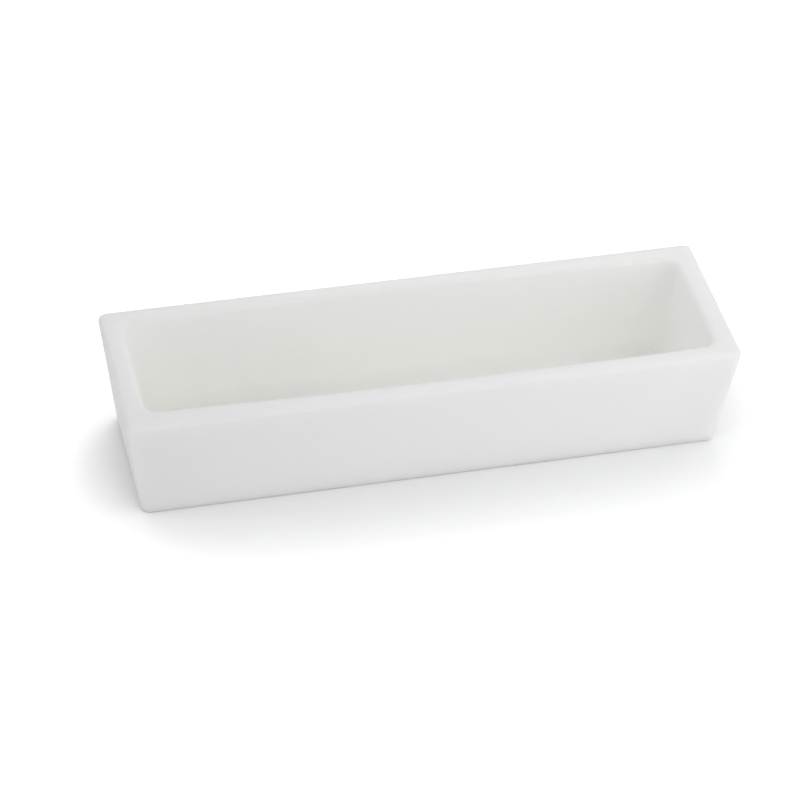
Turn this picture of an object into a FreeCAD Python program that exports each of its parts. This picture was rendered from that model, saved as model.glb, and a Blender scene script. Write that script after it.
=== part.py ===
# Alumina crucible boat: a long open tray of fired alumina, pressed in one piece.
# Its walls lean outwards from the base to the rim, so that it leaves its mould and can be tipped out.
# Millimetres and degrees. The base rests on z = 0, with its centre at the origin.
# X runs along the boat, -Y is its front side, and Z points up.
import FreeCAD, Part
import math
import os

# Outside of the boat
rim_length = 100.0
rim_width = 30.0
height = 20.0
outer_draft = 7.1
outer_corner_left = 1.5
outer_corner_right = 1.25
base_edge_radius = 0.5
rim_outer_radius = 0.9

# Cavity: each wall is measured at the rim, beside the cavity's corners
end_wall = 3.4
back_wall = 3.4
front_wall_left = 4.0
front_wall_right = 3.2
floor_thickness = 3.0
cavity_draft = 7.1
cavity_bow = 0.75
cavity_corner_left = 2.4
cavity_corner_right = 2.0
cavity_floor_radius = 2.0
rim_inner_radius = 1.0

# How far the shape that hollows the boat stands above the rim
cut_overshoot = 1.0
# Two points nearer than this are the same point
tolerance = 0.001
# The boat's two ends, by the sign of X there
left_end = -1
right_end = 1


def side(start, end, bow):
    """Edge from start to end, straight or bowed outwards by bow to the right of its direction."""
    if bow == 0:
        return Part.makeLine(start, end)
    along = (end - start).normalize()
    outwards = along.cross(FreeCAD.Vector(0, 0, 1))
    middle = (start + end) * 0.5 + outwards * bow
    return Part.Arc(start, middle, end).toShape()


def wall(lower, upper):
    """Face that rises from a lower edge to an upper one: flat between lines, ruled between arcs."""
    if isinstance(lower.Curve, Part.Circle):
        return Part.makeRuledSurface(lower, upper)
    first_riser = Part.makeLine(lower.firstVertex().Point, upper.firstVertex().Point)
    last_riser = Part.makeLine(lower.lastVertex().Point, upper.lastVertex().Point)
    return Part.Face(Part.Wire([lower, last_riser, upper, first_riser]))


def outline(corners, bow):
    """Edges through four corners, counter-clockwise from above; the two long ones bow."""
    front_left, front_right, back_right, back_left = corners
    return [
        side(front_left, front_right, bow),
        side(front_right, back_right, 0),
        side(back_right, back_left, bow),
        side(back_left, front_left, 0),
    ]


def leaning_corners(length, front_left, front_right, back, draft, level):
    """Four corners at a level of a space whose sizes are given at the rim and shrink below it."""
    inset = (height - level) * math.tan(math.radians(draft))
    half_length = length / 2 - inset
    return [
        FreeCAD.Vector(-half_length, inset - front_left, level),
        FreeCAD.Vector(half_length, inset - front_right, level),
        FreeCAD.Vector(half_length, back - inset, level),
        FreeCAD.Vector(-half_length, back - inset, level),
    ]


def outer_corners(level):
    """Sharp corners of the outside at a level above the base."""
    lean = math.radians(outer_draft)
    lost_to_rounding = rim_outer_radius * ((1 + math.sin(lean)) / math.cos(lean) - 1)
    length = rim_length + 2 * lost_to_rounding
    half_width = rim_width / 2 + lost_to_rounding
    return leaning_corners(length, half_width, half_width, half_width, outer_draft, level)


def cavity_corners(level):
    """Sharp corners of the cavity at a level above the base."""
    half_width = rim_width / 2
    return leaning_corners(
        rim_length - 2 * end_wall, half_width - front_wall_left, half_width - front_wall_right,
        half_width - back_wall, cavity_draft, level)


def upright_edges(block, end):
    """Edges that rise at one end of a block."""
    return [
        edge for edge in block.Edges
        if abs(edge.firstVertex().Z - edge.lastVertex().Z) > tolerance and edge.firstVertex().X * end > 0
    ]


def drafted_block(corners, bottom, top, bow, left_radius, right_radius):
    """Four-sided block from one level to another, with its upright edges rounded at each end."""
    lower_edges = outline(corners(bottom), bow)
    upper_edges = outline(corners(top), bow)
    faces = [wall(lower, upper) for lower, upper in zip(lower_edges, upper_edges)]
    faces += [Part.Face(Part.Wire(edges)) for edges in (lower_edges, upper_edges)]
    shell = Part.makeShell(faces)
    shell.sewShape()
    block = Part.makeSolid(shell)
    block = block.makeFillet(left_radius, upright_edges(block, left_end))
    return block.makeFillet(right_radius, upright_edges(block, right_end))


def level_face(shape, level):
    """Flat level face of a shape at a height."""
    for face in shape.Faces:
        box = face.BoundBox
        if box.ZLength < tolerance and abs(box.ZMin - level) < tolerance:
            return face
    raise ValueError("no level face at %.3f mm" % level)


def hollow_edges(face):
    """Edges of a face that go round the opening in it."""
    return [edge for wire in face.Wires if not wire.isSame(face.OuterWire) for edge in wire.Edges]


def cavity():
    """Solid of the space in the boat, with its floor rounded into its walls."""
    space = drafted_block(
        cavity_corners, floor_thickness, height + cut_overshoot, cavity_bow,
        cavity_corner_left, cavity_corner_right)
    return space.makeFillet(cavity_floor_radius, level_face(space, floor_thickness).OuterWire.Edges)


def crucible_boat():
    """The whole boat: the leaning outside, hollowed, with a soft rim and soft base edges."""
    body = drafted_block(outer_corners, 0, height, 0, outer_corner_left, outer_corner_right)
    body = body.makeFillet(base_edge_radius, level_face(body, 0).OuterWire.Edges)
    body = body.cut(cavity())
    body = body.makeFillet(rim_outer_radius, level_face(body, height).OuterWire.Edges)
    return body.makeFillet(rim_inner_radius, hollow_edges(level_face(body, height)))


os.makedirs("parts", exist_ok=True)
boat = crucible_boat()
boat.exportStep("parts/crucible_boat.step")
box = boat.optimalBoundingBox()
print("crucible_boat: %d solid, %.2f cm3, box %.2f x %.2f x %.2f mm, valid %s" % (
    len(boat.Solids), boat.Volume / 1000, box.XLength, box.YLength, box.ZLength, boat.isValid()))
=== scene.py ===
"""Looks of a fired alumina crucible boat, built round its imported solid.

The boat was pressed and fired in one piece, so it is one mesh here too. A geometry node tree makes it from
the rule that its shape follows: a wall section, walked round a rounded outline that shrinks towards base and
floor. The tree then adds what pressing and firing leave on such a piece, a slight waviness of its faces and
edges.

Lengths are in metres and angles in radians, unless a name says otherwise. X runs along the boat, -Y is its
front side and Z points up. The base stands on Z = 0, with its centre at the origin.
"""

import logging
import math
from dataclasses import dataclass
from enum import Enum
from typing import Any

import bpy
from mathutils import Matrix, Vector

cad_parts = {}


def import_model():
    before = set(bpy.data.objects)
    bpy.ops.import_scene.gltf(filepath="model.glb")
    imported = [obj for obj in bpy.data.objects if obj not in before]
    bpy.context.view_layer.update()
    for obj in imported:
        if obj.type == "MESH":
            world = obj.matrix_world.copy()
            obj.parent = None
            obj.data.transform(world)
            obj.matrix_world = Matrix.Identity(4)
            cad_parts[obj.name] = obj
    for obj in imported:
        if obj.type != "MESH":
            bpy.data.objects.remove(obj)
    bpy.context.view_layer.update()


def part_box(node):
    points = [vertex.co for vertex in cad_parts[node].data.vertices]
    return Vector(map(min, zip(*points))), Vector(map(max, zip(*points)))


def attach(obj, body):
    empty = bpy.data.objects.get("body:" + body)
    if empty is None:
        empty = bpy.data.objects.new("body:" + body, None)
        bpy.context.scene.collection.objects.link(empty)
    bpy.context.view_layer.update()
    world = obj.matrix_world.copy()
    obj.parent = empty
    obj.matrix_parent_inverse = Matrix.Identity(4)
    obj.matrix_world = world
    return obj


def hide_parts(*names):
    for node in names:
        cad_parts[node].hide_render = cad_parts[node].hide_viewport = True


NODE = "crucible_boat"
BODY = "root"
MILLIMETRE = 0.001
QUARTER_TURN = math.pi / 2
WHITE = (1.0, 1.0, 1.0, 1.0)

# A Mix node has the same socket names for numbers, vectors and colours, so its colour sockets go by number
MIX_SHARE = 0
MIX_FIRST_COLOUR = 6
MIX_SECOND_COLOUR = 7
MIX_COLOUR_OUT = 2

log = logging.getLogger("crucible_boat")


def feed(socket: bpy.types.NodeSocket, value: Any) -> None:
    """Gives a node's input its value.

    Args:
        socket: the input.
        value: a Field or an output to link, or a plain value to set.
    """
    source = value.socket if isinstance(value, Field) else value
    if isinstance(source, bpy.types.NodeSocket):
        socket.id_data.links.new(source, socket)
    else:
        socket.default_value = source


def add_node(tree: bpy.types.NodeTree, kind: str, inputs: dict[str | int, Any] | None = None,
             **settings: Any) -> bpy.types.Node:
    """Adds a node to a tree.

    Args:
        tree: the tree that gets the node.
        kind: the node's type name.
        inputs: what each input is fed, by its name or number.
        settings: attributes of the node, set before its inputs are fed.

    Returns:
        The new node.
    """
    node = tree.nodes.new(kind)
    for name, value in settings.items():
        setattr(node, name, value)
    for name, value in (inputs or {}).items():
        feed(node.inputs[name], value)
    return node


class Field:
    """A number in a node tree that can be reckoned with: each sum or product adds a Math node."""

    def __init__(self, socket: bpy.types.NodeSocket) -> None:
        """Wraps the output that carries the number."""
        self.socket = socket

    def math(self, operation: str, *others: "Field | float") -> "Field":
        """Applies a Math node.

        Args:
            operation: the Math node's operation.
            others: the numbers that come after this one.

        Returns:
            The node's result.
        """
        node = add_node(self.socket.id_data, "ShaderNodeMath", operation=operation)
        for socket, value in zip(node.inputs, (self, *others)):
            feed(socket, value)
        return Field(node.outputs[0])

    def __add__(self, other: "Field | float") -> "Field":
        """This plus other."""
        return self.math("ADD", other)

    def __radd__(self, other: float) -> "Field":
        """Other plus this."""
        return self.math("ADD", other)

    def __sub__(self, other: "Field | float") -> "Field":
        """This minus other."""
        return self.math("SUBTRACT", other)

    def __rsub__(self, other: float) -> "Field":
        """Other minus this."""
        return self.math("MULTIPLY_ADD", -1.0, other)

    def __mul__(self, other: "Field | float") -> "Field":
        """This times other."""
        return self.math("MULTIPLY", other)

    def __rmul__(self, other: float) -> "Field":
        """Other times this."""
        return self.math("MULTIPLY", other)

    def __truediv__(self, other: "Field | float") -> "Field":
        """This divided by other."""
        return self.math("DIVIDE", other)

    def __rtruediv__(self, other: float) -> "Field":
        """Other divided by this."""
        return self.math("POWER", -1.0) * other

    def sin(self) -> "Field":
        """Sine of this angle."""
        return self.math("SINE")

    def cos(self) -> "Field":
        """Cosine of this angle."""
        return self.math("COSINE")

    def tan(self) -> "Field":
        """Tangent of this angle."""
        return self.math("TANGENT")

    def share(self, start: float, count: "Field | float") -> "Field":
        """How far this has come along a stretch that is count long, from 0 at its start to 1."""
        return ((self - start) / count).math("MAXIMUM", 0.0).math("MINIMUM", 1.0)

    def towards(self, other: "Field", share: "Field") -> "Field":
        """This where share is 0, other where it is 1, and a straight mix between."""
        return self + (other - self) * share


@dataclass(frozen=True)
class PhotoCamera:
    """Where the photograph was taken from. Its pixels are those of an 800 by 800 frame."""

    azimuth_deg: float = -14.498
    elevation_deg: float = 39.639
    roll_deg: float = 2.241
    focal_pixels: float = 3457.6
    pixels_per_metre: float = 6069.9
    origin_x_pixel: float = 415.07
    origin_y_pixel: float = 427.54
    frame_pixels: float = 800.0
    sensor_width_mm: float = 36.0
    nearest: float = 0.01
    farthest: float = 30.0

    def axes(self) -> tuple[Vector, Vector, Vector]:
        """Directions of the picture.

        Returns:
            Unit vectors to its right, up in it, and back from it to the camera.
        """
        turn = math.radians(self.azimuth_deg)
        rise = math.radians(self.elevation_deg)
        tilt = math.radians(self.roll_deg)
        back = Vector((math.sin(turn) * math.cos(rise), -math.cos(turn) * math.cos(rise), math.sin(rise)))
        level_right = Vector((math.cos(turn), math.sin(turn), 0.0))
        level_up = back.cross(level_right)
        right = level_right * math.cos(tilt) + level_up * math.sin(tilt)
        up = level_up * math.cos(tilt) - level_right * math.sin(tilt)
        return right, up, back

    def build(self) -> bpy.types.Object:
        """Makes the camera and makes it the scene's.

        Returns:
            The camera.
        """
        data = bpy.data.cameras.new("photo_camera")
        data.sensor_width = self.sensor_width_mm
        data.lens = self.focal_pixels * self.sensor_width_mm / self.frame_pixels
        data.clip_start = self.nearest
        data.clip_end = self.farthest
        right, up, back = self.axes()
        middle = self.frame_pixels / 2
        distance = self.focal_pixels / self.pixels_per_metre
        aside = (self.origin_x_pixel - middle) / self.pixels_per_metre
        above = (middle - self.origin_y_pixel) / self.pixels_per_metre
        place = back * distance - right * aside - up * above
        camera = bpy.data.objects.new("photo_camera", data)
        camera.matrix_world = Matrix.Translation(place) @ Matrix((right, up, back)).transposed().to_4x4()
        bpy.context.scene.collection.objects.link(camera)
        bpy.context.scene.camera = camera
        return camera


@dataclass(frozen=True)
class MeshSteps:
    """How many steps the mesh takes along each stretch of the boat's section and of its outline."""

    base: int = 16
    base_edge: int = 7
    outer_wall: int = 34
    rim_outer_edge: int = 7
    rim: int = 4
    rim_inner_edge: int = 8
    inner_wall: int = 26
    floor_edge: int = 8
    floor: int = 14
    corner: int = 9
    long_side: int = 150
    short_side: int = 40

    def section(self) -> dict[str, int]:
        """Stretches of the section in order, from the base's centre line to the floor's."""
        names = ("base", "base_edge", "outer_wall", "rim_outer_edge", "rim",
                 "rim_inner_edge", "inner_wall", "floor_edge", "floor")
        return {name: getattr(self, name) for name in names}

    def half_outline(self) -> int:
        """Steps round half of the outline: two corners, a long side and a short side."""
        return 2 * self.corner + self.long_side + self.short_side


@dataclass(frozen=True)
class BoatForm:
    """Sizes of the boat that its box doesn't give. Walls are measured at the rim's corners."""

    outer_draft: float = math.radians(7.1)
    outer_corner_left: float = 1.5 * MILLIMETRE
    outer_corner_right: float = 1.25 * MILLIMETRE
    base_edge_radius: float = 0.5 * MILLIMETRE
    rim_outer_radius: float = 0.9 * MILLIMETRE
    end_wall: float = 3.4 * MILLIMETRE
    back_wall: float = 3.4 * MILLIMETRE
    front_wall_left: float = 4.0 * MILLIMETRE
    front_wall_right: float = 3.2 * MILLIMETRE
    floor_thickness: float = 3.0 * MILLIMETRE
    cavity_draft: float = math.radians(7.1)
    cavity_bow: float = 0.75 * MILLIMETRE
    cavity_corner_left: float = 2.4 * MILLIMETRE
    cavity_corner_right: float = 2.0 * MILLIMETRE
    cavity_floor_radius: float = 2.0 * MILLIMETRE
    rim_inner_radius: float = 1.0 * MILLIMETRE
    right_end_lean: float = math.radians(4.5)
    right_corner_growth: float = 0.2

    def inputs(self, box: Vector) -> dict[str, float]:
        """Sizes for the node tree.

        Args:
            box: length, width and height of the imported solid.

        Returns:
            Each size by its name, the box's among them.
        """
        return {"length": box.x, "width": box.y, "height": box.z, **vars(self)}


@dataclass(frozen=True)
class Unevenness:
    """How far the boat strays from its rule, as pressing and firing leave it.

    Attributes:
        broad_height: how far its faces swell and sink.
        broad_size: how wide one swelling is.
        fine_height: how far its skin wavers.
        fine_size: how wide one waver is.
        flat_level: level below which it strays less and less, so that the base stays flat.
        seed: which of all such boats it is.
    """

    broad_height: float = 0.03 * MILLIMETRE
    broad_size: float = 24.0 * MILLIMETRE
    fine_height: float = 0.004 * MILLIMETRE
    fine_size: float = 5.0 * MILLIMETRE
    flat_level: float = 2.0 * MILLIMETRE
    seed: float = 7.0


@dataclass(frozen=True)
class Section:
    """A stretch of the boat's section: how far in from its sharp rim it lies, and at what level."""

    inset: Field
    level: Field


@dataclass(frozen=True)
class Outline:
    """A four-sided outline with rounded corners, which shrinks as the section moves inwards.

    Attributes:
        half_length: half of its length at the sharp rim.
        front_left: distance of its front side from the X axis at its left end.
        front_right: the same at its right end.
        back: distance of its back side from the X axis.
        bow: how far its long sides bow outwards at mid-length.
        corner_left: radius of its two upright corners at the left end, on the wall.
        corner_right: the same at the right end.
        draft: lean of the wall from upright.
        right_end_lean: how much further its right end leans.
        right_corner_growth: how much its two right corners' radius grows, as a share of the depth.
    """

    half_length: Field
    front_left: Field
    front_right: Field
    back: Field
    bow: Field | float
    corner_left: Field
    corner_right: Field
    draft: Field
    right_end_lean: Field | None = None
    right_corner_growth: Field | float = 0.0


class BoatTree:
    """Geometry node tree that makes the boat from its sizes.

    Attributes:
        MERGE_DISTANCE: points of the seams that lie nearer than this become one.
        CAVITY_ATTRIBUTE: name of the attribute that grows from 0 at the rim to 1 at the cavity's foot.
        SHARE_OF_RIM_EDGE: the part of that growth that falls on the rim's inner edge.
        WAVE_DETAIL: how many finer layers the waves have.
        HALF_STEP: half a step of the grid, to tell whole steps apart.
    """

    MERGE_DISTANCE = 0.002 * MILLIMETRE
    CAVITY_ATTRIBUTE = "cavity_share"
    SHARE_OF_RIM_EDGE = 0.3
    WAVE_DETAIL = 1.0
    HALF_STEP = 0.5

    def __init__(self, steps: MeshSteps, sizes: tuple[str, ...]) -> None:
        """Makes the tree.

        Args:
            steps: how finely the mesh is divided.
            sizes: names of the tree's inputs.
        """
        self.steps = steps
        self.tree = bpy.data.node_groups.new("crucible_boat_form", "GeometryNodeTree")
        self.tree.interface.new_socket("geometry", in_out="OUTPUT", socket_type="NodeSocketGeometry")
        for name in sizes:
            self.tree.interface.new_socket(name, in_out="INPUT", socket_type="NodeSocketFloat")
        self.tree.interface.new_socket("material", in_out="INPUT", socket_type="NodeSocketMaterial")
        self.entry = self.tree.nodes.new("NodeGroupInput")
        self.position = self.tree.nodes.new("GeometryNodeInputPosition").outputs[0]
        self.finish(self.uneven(self.closed(self.bent_grid())))

    def size(self, name: str) -> Field:
        """One of the tree's sizes."""
        return Field(self.entry.outputs[name])

    def identifiers(self) -> dict[str, str]:
        """Identifier of each of the tree's inputs, by its name."""
        items = self.tree.interface.items_tree
        return {item.name: item.identifier for item in items if item.in_out == "INPUT"}

    def outside(self) -> Outline:
        """Outline of the outside, grown by what rounding the rim's outer edge takes off its reach."""
        draft = self.size("outer_draft")
        lost = self.size("rim_outer_radius") * (1.0 / ((QUARTER_TURN - draft) / 2).tan() - 1.0)
        half_width = self.size("width") / 2 + lost
        return Outline(
            self.size("length") / 2 + lost, half_width, half_width, half_width, 0.0,
            self.size("outer_corner_left"), self.size("outer_corner_right"), draft)

    def inside(self) -> Outline:
        """Outline of the cavity."""
        half_width = self.size("width") / 2
        return Outline(
            self.size("length") / 2 - self.size("end_wall"),
            half_width - self.size("front_wall_left"), half_width - self.size("front_wall_right"),
            half_width - self.size("back_wall"), self.size("cavity_bow"),
            self.size("cavity_corner_left"), self.size("cavity_corner_right"), self.size("cavity_draft"),
            self.size("right_end_lean"), self.size("right_corner_growth"))

    def outer_section(self, gone: dict[str, Field]) -> Section:
        """Section of the outside: base edge, wall and the rim's outer edge.

        Args:
            gone: how far along each stretch a point has come.

        Returns:
            The section.
        """
        draft = self.size("outer_draft")
        height = self.size("height")
        base_radius = self.size("base_edge_radius")
        base_angle = (QUARTER_TURN - draft) * gone["base_edge"] - QUARTER_TURN
        base_centre = height * draft.tan() + base_radius / ((QUARTER_TURN + draft) / 2).tan()
        rim_radius = self.size("rim_outer_radius")
        rim_angle = (QUARTER_TURN + draft) * gone["rim_outer_edge"] - draft
        rim_centre = rim_radius / ((QUARTER_TURN - draft) / 2).tan()
        base_inset = base_centre - base_radius * base_angle.cos()
        base_level = base_radius + base_radius * base_angle.sin()
        rim_inset = rim_centre - rim_radius * rim_angle.cos()
        rim_level = height - rim_radius + rim_radius * rim_angle.sin()
        return Section(
            base_inset.towards(rim_inset, gone["outer_wall"]),
            base_level.towards(rim_level, gone["outer_wall"]))

    def inner_section(self, gone: dict[str, Field]) -> Section:
        """Section of the cavity: the rim's inner edge, wall and the floor's edge.

        Args:
            gone: how far along each stretch a point has come.

        Returns:
            The section.
        """
        draft = self.size("cavity_draft")
        height = self.size("height")
        floor = self.size("floor_thickness")
        half_corner = (QUARTER_TURN + draft) / 2
        rim_radius = self.size("rim_inner_radius")
        rim_angle = QUARTER_TURN - (QUARTER_TURN - draft) * gone["rim_inner_edge"]
        floor_radius = self.size("cavity_floor_radius")
        floor_angle = draft + (QUARTER_TURN - draft) * gone["floor_edge"]
        floor_centre = (height - floor) * draft.tan() + floor_radius / half_corner.tan()
        rim_inset = rim_radius * rim_angle.cos() - rim_radius / half_corner.tan()
        rim_level = height - rim_radius + rim_radius * rim_angle.sin()
        floor_inset = floor_centre - floor_radius * floor_angle.cos()
        floor_level = floor + floor_radius - floor_radius * floor_angle.sin()
        return Section(
            rim_inset.towards(floor_inset, gone["inner_wall"]),
            rim_level.towards(floor_level, gone["inner_wall"]))

    def heading(self, around: Field) -> tuple[Field, Field, Field]:
        """Where a point of the outline lies and which way it faces.

        Args:
            around: steps round the outline, counter-clockwise from the right side's back end.

        Returns:
            The angle that it faces, and its side as two numbers from -1 to 1, along X and along Y.
        """
        corner = float(self.steps.corner)
        long_side = float(self.steps.long_side)
        half = float(self.steps.half_outline())
        second_half = around.math("GREATER_THAN", half - self.HALF_STEP)
        within = around - second_half * half
        sign = 1.0 - second_half * 2
        side_x = sign * (1.0 - within.share(corner, long_side) * 2)
        side_y = sign * (1.0 - within.share(2 * corner + long_side, float(self.steps.short_side)) * 2)
        quarters = second_half * 2 + within.share(0.0, corner) + within.share(corner + long_side, corner)
        return quarters * QUARTER_TURN, side_x, side_y

    def walked(self, outline: Outline, section: Section, around: Field, flat: Field) -> tuple[Field, Field]:
        """Walks a section round an outline.

        Args:
            outline: what it is walked round.
            section: how far in it lies at each level.
            around: steps round the outline.
            flat: how far over a flat base or floor a point is, from its edge to its centre line.

        Returns:
            X and Y of each point.
        """
        facing, side_x, side_y = self.heading(around)
        depth = self.size("height") - section.level
        wall_inset = depth * outline.draft.tan()
        to_right = side_x * 0.5 + 0.5
        corner_radius = outline.corner_left.towards(outline.corner_right, to_right) \
            + depth * to_right * outline.right_corner_growth
        radius = (corner_radius + wall_inset - section.inset).math("MAXIMUM", 0.0)
        reach = outline.half_length - section.inset
        front = outline.front_left.towards(outline.front_right, to_right)
        middle_x = side_x * (reach - radius)
        middle_y = (section.inset + radius - front).towards(
            outline.back - section.inset - radius, side_y * 0.5 + 0.5)
        x = middle_x + radius * facing.cos()
        along = x / reach
        y = middle_y + radius * facing.sin() + side_y * outline.bow * (1.0 - along * along)
        if outline.right_end_lean is not None:
            x = x - depth * to_right * to_right * outline.right_end_lean.tan()
        half_width = (outline.front_left + outline.front_right) / 4 + outline.back / 2 - section.inset
        centre_x = x * (1.0 - half_width / reach)
        centre_y = (outline.back - front) / 2
        return x.towards(centre_x, flat), y.towards(centre_y, flat)

    def bent_grid(self) -> bpy.types.NodeSocket:
        """Bends a flat grid into the boat.

        Returns:
            The boat's skin, with its seams still open.
        """
        around_steps = 2 * self.steps.half_outline()
        along_steps = sum(self.steps.section().values())
        grid = add_node(self.tree, "GeometryNodeMeshGrid", {
            "Size X": float(around_steps), "Size Y": float(along_steps),
            "Vertices X": around_steps + 1, "Vertices Y": along_steps + 1})
        place = add_node(self.tree, "ShaderNodeSeparateXYZ", {0: self.position})
        around = (Field(place.outputs[0]) + around_steps / 2).math("ROUND")
        around = around.math("MODULO", float(around_steps))
        along = (Field(place.outputs[1]) + along_steps / 2).math("ROUND")
        gone = {}
        start = 0
        for name, count in self.steps.section().items():
            gone[name] = along.share(float(start), float(count))
            start += count
        outer = self.outer_section(gone)
        inner = self.inner_section(gone)
        outer_x, outer_y = self.walked(self.outside(), outer, around, 1.0 - gone["base"])
        inner_x, inner_y = self.walked(self.inside(), inner, around, gone["floor"])
        bent = add_node(self.tree, "ShaderNodeCombineXYZ", {
            "X": outer_x.towards(inner_x, gone["rim"]),
            "Y": outer_y.towards(inner_y, gone["rim"]),
            "Z": outer.level.towards(inner.level, gone["rim"])})
        # Also the mask for the cavity's warmer colour, which is painted bounce light.
        cavity_share = gone["rim_inner_edge"] * self.SHARE_OF_RIM_EDGE \
            + gone["inner_wall"] * (1.0 - self.SHARE_OF_RIM_EDGE)
        marked = add_node(self.tree, "GeometryNodeStoreNamedAttribute", {
            "Geometry": grid.outputs["Mesh"], "Name": self.CAVITY_ATTRIBUTE, "Value": cavity_share},
            data_type="FLOAT", domain="POINT")
        return add_node(self.tree, "GeometryNodeSetPosition", {
            "Geometry": marked.outputs[0], "Position": bent.outputs[0]}).outputs[0]

    def closed(self, skin: bpy.types.NodeSocket) -> bpy.types.NodeSocket:
        """Closes the skin's seams.

        Args:
            skin: the skin with its seams open.

        Returns:
            The closed skin.
        """
        return add_node(self.tree, "GeometryNodeMergeByDistance", {
            "Geometry": skin, "Distance": self.MERGE_DISTANCE}).outputs[0]

    def waves(self, kind: str) -> Field:
        """Height of the broad or the fine unevenness at a point, about zero."""
        noise = add_node(self.tree, "ShaderNodeTexNoise", {
            "Vector": self.position, "W": self.size("seed"), "Scale": 1.0 / self.size(kind + "_size"),
            "Detail": self.WAVE_DETAIL}, noise_dimensions="4D")
        return (Field(noise.outputs[0]) * 2 - 1.0) * self.size(kind + "_height")

    def uneven(self, skin: bpy.types.NodeSocket) -> bpy.types.NodeSocket:
        """Moves the skin in and out a little, but not at the base.

        Args:
            skin: the closed skin.

        Returns:
            The uneven skin.
        """
        level = Field(add_node(self.tree, "ShaderNodeSeparateXYZ", {0: self.position}).outputs[2])
        height = (self.waves("broad") + self.waves("fine")) * level.share(0.0, self.size("flat_level"))
        outwards = self.tree.nodes.new("GeometryNodeInputNormal").outputs[0]
        moved = add_node(self.tree, "ShaderNodeVectorMath", {
            0: outwards, "Scale": height}, operation="SCALE")
        return add_node(self.tree, "GeometryNodeSetPosition", {
            "Geometry": skin, "Offset": moved.outputs[0]}).outputs[0]

    def finish(self, skin: bpy.types.NodeSocket) -> None:
        """Gives the skin its smoothness and its material, and hands it out.

        Args:
            skin: the finished skin.
        """
        smooth = add_node(self.tree, "GeometryNodeSetShadeSmooth", {"Geometry": skin}).outputs[0]
        whole = add_node(self.tree, "GeometryNodeRealizeInstances", {"Geometry": smooth}).outputs[0]
        coated = add_node(self.tree, "GeometryNodeSetMaterial", {
            "Geometry": whole, "Material": self.entry.outputs["material"]}).outputs[0]
        add_node(self.tree, "NodeGroupOutput", {"geometry": coated})


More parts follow.
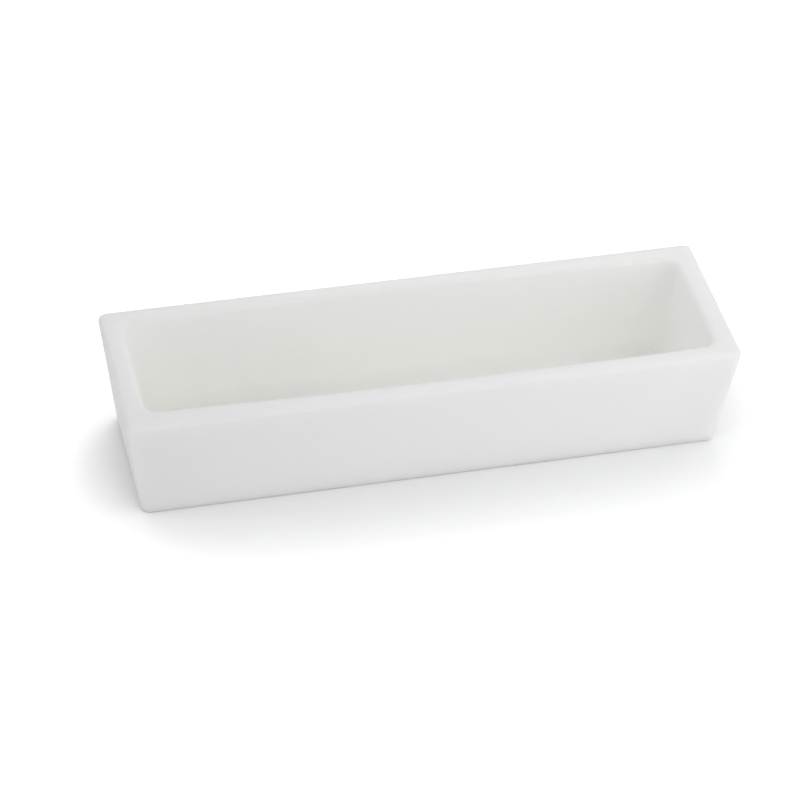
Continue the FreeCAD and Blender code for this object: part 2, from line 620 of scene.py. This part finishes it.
@dataclass(frozen=True)
class AluminaFinish:
    """Matt white of unglazed, fired alumina: slightly translucent, faintly cloudy; the cavity is a little
    warmer, as painted bounce light.

    Attributes:
        outside: colour of the outside.
        inside: colour of the cavity, warmer than the outside as painted bounce light.
        clouds: how much lighter and darker the clouds are, as a share of the colour.
        cloud_size: how wide one cloud is.
        grain_depth: how deep the grain of the skin is.
        grain_size: how wide one grain is.
        pore_spacing: how far apart the pores lie.
        pore_radius: radius of the largest pores.
        pore_painted_shade: how much darker a pore is painted, as the shade in its pit, as a share of the
            colour.
        roughness: how matt the skin is.
        specular_level: how strongly the skin shines.
        ior: how strongly the material bends light.
        scatter_depth: how far light travels in the material.
        scatter_shares: how far red, green and blue travel, as shares of that.
        cloud_detail: how many finer layers the clouds have.
        grain_detail: how many finer layers the grain has.
        seed: which of all such skins it is.
    """

    outside: tuple[float, float, float, float] = (0.945, 0.945, 0.945, 1.0)
    inside: tuple[float, float, float, float] = (0.95, 0.95, 0.905, 1.0)
    clouds: float = 0.02
    cloud_size: float = 9.0 * MILLIMETRE
    grain_depth: float = 0.008 * MILLIMETRE
    grain_size: float = 0.35 * MILLIMETRE
    pore_spacing: float = 4.0 * MILLIMETRE
    pore_radius: float = 0.14 * MILLIMETRE
    pore_painted_shade: float = 0.12
    roughness: float = 0.85
    specular_level: float = 0.25
    ior: float = 1.5
    scatter_depth: float = 2.0 * MILLIMETRE
    scatter_shares: tuple[float, float, float] = (1.0, 0.98, 0.95)
    cloud_detail: float = 2.0
    grain_detail: float = 1.0
    seed: float = 3.0

    def noise(self, tree: bpy.types.NodeTree, size: float, detail: float) -> Field:
        """Adds a noise to a material, fixed to the boat.

        Args:
            tree: the material's nodes.
            size: how wide one patch of the noise is.
            detail: how many finer layers it has.

        Returns:
            The noise, about 0.5.
        """
        place = tree.nodes.new("ShaderNodeTexCoord").outputs["Object"]
        texture = add_node(tree, "ShaderNodeTexNoise", {
            "Vector": place, "W": self.seed, "Scale": 1.0 / size, "Detail": detail}, noise_dimensions="4D")
        return Field(texture.outputs[0])

    def pores(self, tree: bpy.types.NodeTree) -> Field:
        """Adds pores to a material: 1 in a pore and 0 beside it. Each has a radius of its own."""
        place = tree.nodes.new("ShaderNodeTexCoord").outputs["Object"]
        cells = add_node(tree, "ShaderNodeTexVoronoi", {"Vector": place, "Scale": 1.0 / self.pore_spacing})
        luck = Field(add_node(tree, "ShaderNodeSeparateXYZ", {0: cells.outputs["Color"]}).outputs[0])
        radius = luck * luck * (self.pore_radius / self.pore_spacing)
        return 1.0 - (Field(cells.outputs["Distance"]) / radius).math("MINIMUM", 1.0)

    def build(self) -> bpy.types.Material:
        """Makes the material.

        Returns:
            The material.
        """
        material = bpy.data.materials.new("fired_alumina")
        material.use_nodes = True
        tree = material.node_tree
        surface = tree.nodes["Principled BSDF"]
        # The cavity's warmer colour is painted bounce light, laid on by how deep a point lies in the cavity.
        depth = add_node(tree, "ShaderNodeAttribute", attribute_name=BoatTree.CAVITY_ATTRIBUTE)
        colour_with_painted_bounce = add_node(tree, "ShaderNodeMix", {
            MIX_SHARE: depth.outputs["Fac"], MIX_FIRST_COLOUR: self.outside,
            MIX_SECOND_COLOUR: self.inside}, data_type="RGBA")
        pores = self.pores(tree)
        clouds = self.noise(tree, self.cloud_size, self.cloud_detail) * 2 - 1.0
        cloudy = 1.0 + clouds * self.clouds
        # Random clouds of tone, times painted shade in the pores.
        shade = cloudy * (1.0 - pores * self.pore_painted_shade)
        colour = add_node(tree, "ShaderNodeVectorMath", {
            0: colour_with_painted_bounce.outputs[MIX_COLOUR_OUT], "Scale": shade}, operation="SCALE").outputs[0]
        grain = self.noise(tree, self.grain_size, self.grain_detail) * self.grain_depth
        relief = grain - pores * self.pore_radius
        bump = add_node(tree, "ShaderNodeBump", {"Height": relief, "Distance": 1.0}).outputs[0]
        for name, value in {
            "Base Color": colour, "Roughness": self.roughness, "IOR": self.ior,
            "Specular IOR Level": self.specular_level, "Normal": bump,
            "Subsurface Weight": 1.0, "Subsurface Scale": self.scatter_depth,
            "Subsurface Radius": self.scatter_shares,
        }.items():
            feed(surface.inputs[name], value)
        return material


@dataclass(frozen=True)
class Boat:
    """The crucible boat: one pressed and fired piece."""

    form: BoatForm
    unevenness: Unevenness
    steps: MeshSteps
    finish: AluminaFinish

    def build(self) -> bpy.types.Object:
        """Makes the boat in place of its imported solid.

        Returns:
            The boat.
        """
        low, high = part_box(NODE)
        inputs = self.form.inputs(high - low) | vars(self.unevenness)
        tree = BoatTree(self.steps, tuple(inputs))
        boat = bpy.data.objects.new("crucible_boat_body", bpy.data.meshes.new("crucible_boat_seed"))
        bpy.context.scene.collection.objects.link(boat)
        modifier = boat.modifiers.new("form", "NODES")
        modifier.node_group = tree.tree
        identifiers = tree.identifiers()
        for name, value in inputs.items():
            modifier[identifiers[name]] = value
        modifier[identifiers["material"]] = self.finish.build()
        shaped = boat.evaluated_get(bpy.context.evaluated_depsgraph_get())
        mesh = bpy.data.meshes.new_from_object(shaped)
        empty_slots = [number for number, material in enumerate(mesh.materials) if material is None]
        for number in reversed(empty_slots):
            mesh.materials.pop(index=number)
        boat.modifiers.clear()
        boat.data = mesh
        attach(boat, BODY)
        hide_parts(NODE)
        return boat


class SeenBy(Enum):
    """Rays that see a background as it is painted, and not as it is lit."""

    CAMERA = "Is Camera Ray"
    GLOSS = "Is Glossy Ray"
    GLASS = "Is Transmission Ray"

    @classmethod
    def any_of_them(cls, tree: bpy.types.NodeTree) -> Field:
        """Adds nodes to a tree that give 1 for any of these rays, and 0 for all others."""
        path = tree.nodes.new("ShaderNodeLightPath")
        rays = [Field(path.outputs[ray.value]) for ray in cls]
        return rays[0].math("MAXIMUM", rays[1]).math("MAXIMUM", rays[2])


@dataclass(frozen=True)
class SoftBox:
    """A square studio lamp behind a diffuser.

    Attributes:
        name: what it is called.
        bearing_deg: its direction from the boat, counter-clockwise from the X axis.
        rise_deg: its direction above the table.
        distance: how far it stands from the boat.
        side: side of its diffuser.
        watts: its power.
    """

    name: str
    bearing_deg: float
    rise_deg: float
    distance: float
    side: float
    watts: float

    def build(self) -> bpy.types.Object:
        """Makes the lamp, turned towards the boat.

        Returns:
            The lamp.
        """
        data = bpy.data.lights.new(self.name, "AREA")
        data.size = self.side
        data.energy = self.watts
        lamp = bpy.data.objects.new(self.name, data)
        bearing = math.radians(self.bearing_deg)
        rise = math.radians(self.rise_deg)
        level = Vector((math.cos(bearing), math.sin(bearing), 0.0))
        towards = level * math.cos(rise) + Vector((0.0, 0.0, math.sin(rise)))
        turn = towards.to_track_quat("Z", "Y").to_matrix().to_4x4()
        lamp.matrix_world = Matrix.Translation(towards * self.distance) @ turn
        bpy.context.scene.collection.objects.link(lamp)
        return lamp


@dataclass(frozen=True)
class Studio:
    """White table, pale surroundings and soft lamps.

    Attributes:
        boxes: lamps that light everything.
        table_box: lamp that lights the table alone, so that the boat's shadow falls as in the photograph.
        table_side: side of the square table.
        table_colour: colour of the table.
        table_lift: how much whiter the open table is seen than it is lit.
        near_shade_reach: how far away the boat still shades the table beside it, as shade painted into the
            lift.
        wide_shade_reach: how far away it shades the table to one side, as painted shade too.
        wide_shade_lean: how far to the left the part of the sky lies that counts most there.
        shade_depth: how strongly that painted shade takes away from the lift.
        shade_samples: how finely the shade is found.
        surround_strength: how strongly the white surroundings light the boat.
    """

    boxes: tuple[SoftBox, ...]
    table_box: SoftBox
    table_side: float = 12.0
    table_colour: tuple[float, float, float, float] = (0.896, 0.9, 0.905, 1.0)
    table_lift: float = 0.755
    near_shade_reach: float = 40.0 * MILLIMETRE
    wide_shade_reach: float = 80.0 * MILLIMETRE
    wide_shade_lean: float = math.radians(40.0)
    shade_depth: float = 2.0
    shade_samples: int = 16
    surround_strength: float = 0.187

    def build(self) -> None:
        """Makes the table, the surroundings and the lamps."""
        table = self.build_table()
        self.build_surroundings()
        for box in self.boxes:
            box.build()
        lit = bpy.data.collections.new("lit_by_the_table_box")
        lit.objects.link(table)
        self.table_box.build().light_linking.receiver_collection = lit

    def shade(self, tree: bpy.types.NodeTree, reach: float, lean: float) -> Field:
        """Adds to a material how open the table is to the sky at each point, from 0 to 1.

        Args:
            tree: the material's nodes.
            reach: how far away the boat still shades the table.
            lean: how far to the left the part of the sky lies that counts most.

        Returns:
            The share that is open.
        """
        towards = add_node(tree, "ShaderNodeCombineXYZ", {"X": -math.sin(lean), "Z": math.cos(lean)})
        return Field(add_node(tree, "ShaderNodeAmbientOcclusion", {
            "Distance": reach, "Normal": towards.outputs[0]}, samples=self.shade_samples).outputs["AO"])

    def build_table(self) -> bpy.types.Object:
        """Makes the table: lit as it stands, and seen a little whiter than it is lit, less so near the boat
        by painted shade.

        Returns:
            The table.
        """
        half = self.table_side / 2
        mesh = bpy.data.meshes.new("table")
        mesh.from_pydata([(-half, -half, 0.0), (half, -half, 0.0), (half, half, 0.0), (-half, half, 0.0)],
                         [], [(0, 1, 2, 3)])
        material = bpy.data.materials.new("white_table")
        material.use_nodes = True
        tree = material.node_tree
        tree.nodes.clear()
        seen = SeenBy.any_of_them(tree)
        near_shade = self.shade(tree, self.near_shade_reach, 0.0)
        wide_shade = self.shade(tree, self.wide_shade_reach, self.wide_shade_lean)
        matt = add_node(tree, "ShaderNodeBsdfDiffuse", {"Color": self.table_colour})
        # The lift fades near the boat by ambient occlusion: painted shade on top of the cast shadows.
        lift = add_node(tree, "ShaderNodeEmission", {
            "Strength": seen * self.table_lift * (near_shade * wide_shade).math("POWER", self.shade_depth)})
        both = add_node(tree, "ShaderNodeAddShader", {0: matt.outputs[0], 1: lift.outputs[0]})
        add_node(tree, "ShaderNodeOutputMaterial", {"Surface": both.outputs[0]})
        mesh.materials.append(material)
        table = bpy.data.objects.new("table", mesh)
        bpy.context.scene.collection.objects.link(table)
        return table

    def build_surroundings(self) -> None:
        """Makes the surroundings: white where they are seen, dimmer where they light the boat."""
        world = bpy.data.worlds.new("surroundings")
        world.use_nodes = True
        tree = world.node_tree
        tree.nodes.clear()
        dimmed = add_node(tree, "ShaderNodeBackground", {
            "Color": WHITE, "Strength": self.surround_strength})
        white = add_node(tree, "ShaderNodeBackground", {"Color": WHITE, "Strength": 1.0})
        mix = add_node(tree, "ShaderNodeMixShader", {
            0: SeenBy.any_of_them(tree), 1: dimmed.outputs[0], 2: white.outputs[0]})
        add_node(tree, "ShaderNodeOutputWorld", {"Surface": mix.outputs[0]})
        bpy.context.scene.world = world


def main() -> None:
    """Builds the camera, the boat and the studio."""
    logging.basicConfig(level=logging.INFO, format="%(name)s: %(message)s")
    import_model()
    bpy.context.scene.view_settings.view_transform = "Standard"
    PhotoCamera().build()
    boat = Boat(BoatForm(), Unevenness(), MeshSteps(), AluminaFinish()).build()
    log.info("%s: %d faces", boat.name, len(boat.data.polygons))
    boxes = (
        SoftBox("wide_front_box", bearing_deg=270.0, rise_deg=35.0, distance=0.55, side=0.70, watts=0.778),
        SoftBox("high_front_box", bearing_deg=270.0, rise_deg=50.0, distance=0.55, side=0.28, watts=0.351),
        SoftBox("right_box", bearing_deg=330.0, rise_deg=25.0, distance=0.55, side=0.28, watts=0.319),
        SoftBox("back_right_box", bearing_deg=45.0, rise_deg=25.0, distance=0.55, side=0.28, watts=0.095),
        SoftBox("left_box", bearing_deg=180.0, rise_deg=20.0, distance=0.55, side=0.28, watts=0.627),
        SoftBox("high_right_box", bearing_deg=0.0, rise_deg=55.0, distance=0.25, side=0.15, watts=0.115),
        SoftBox("back_box", bearing_deg=90.0, rise_deg=40.0, distance=0.25, side=0.15, watts=0.162),
        SoftBox("right_card", bearing_deg=315.0, rise_deg=8.0, distance=0.18, side=0.10, watts=0.03),
    )
    table_box = SoftBox("table_box", bearing_deg=69.7, rise_deg=55.3, distance=0.243, side=0.10, watts=0.09)
    Studio(boxes, table_box).build()


if __name__ == "__main__":
    main()
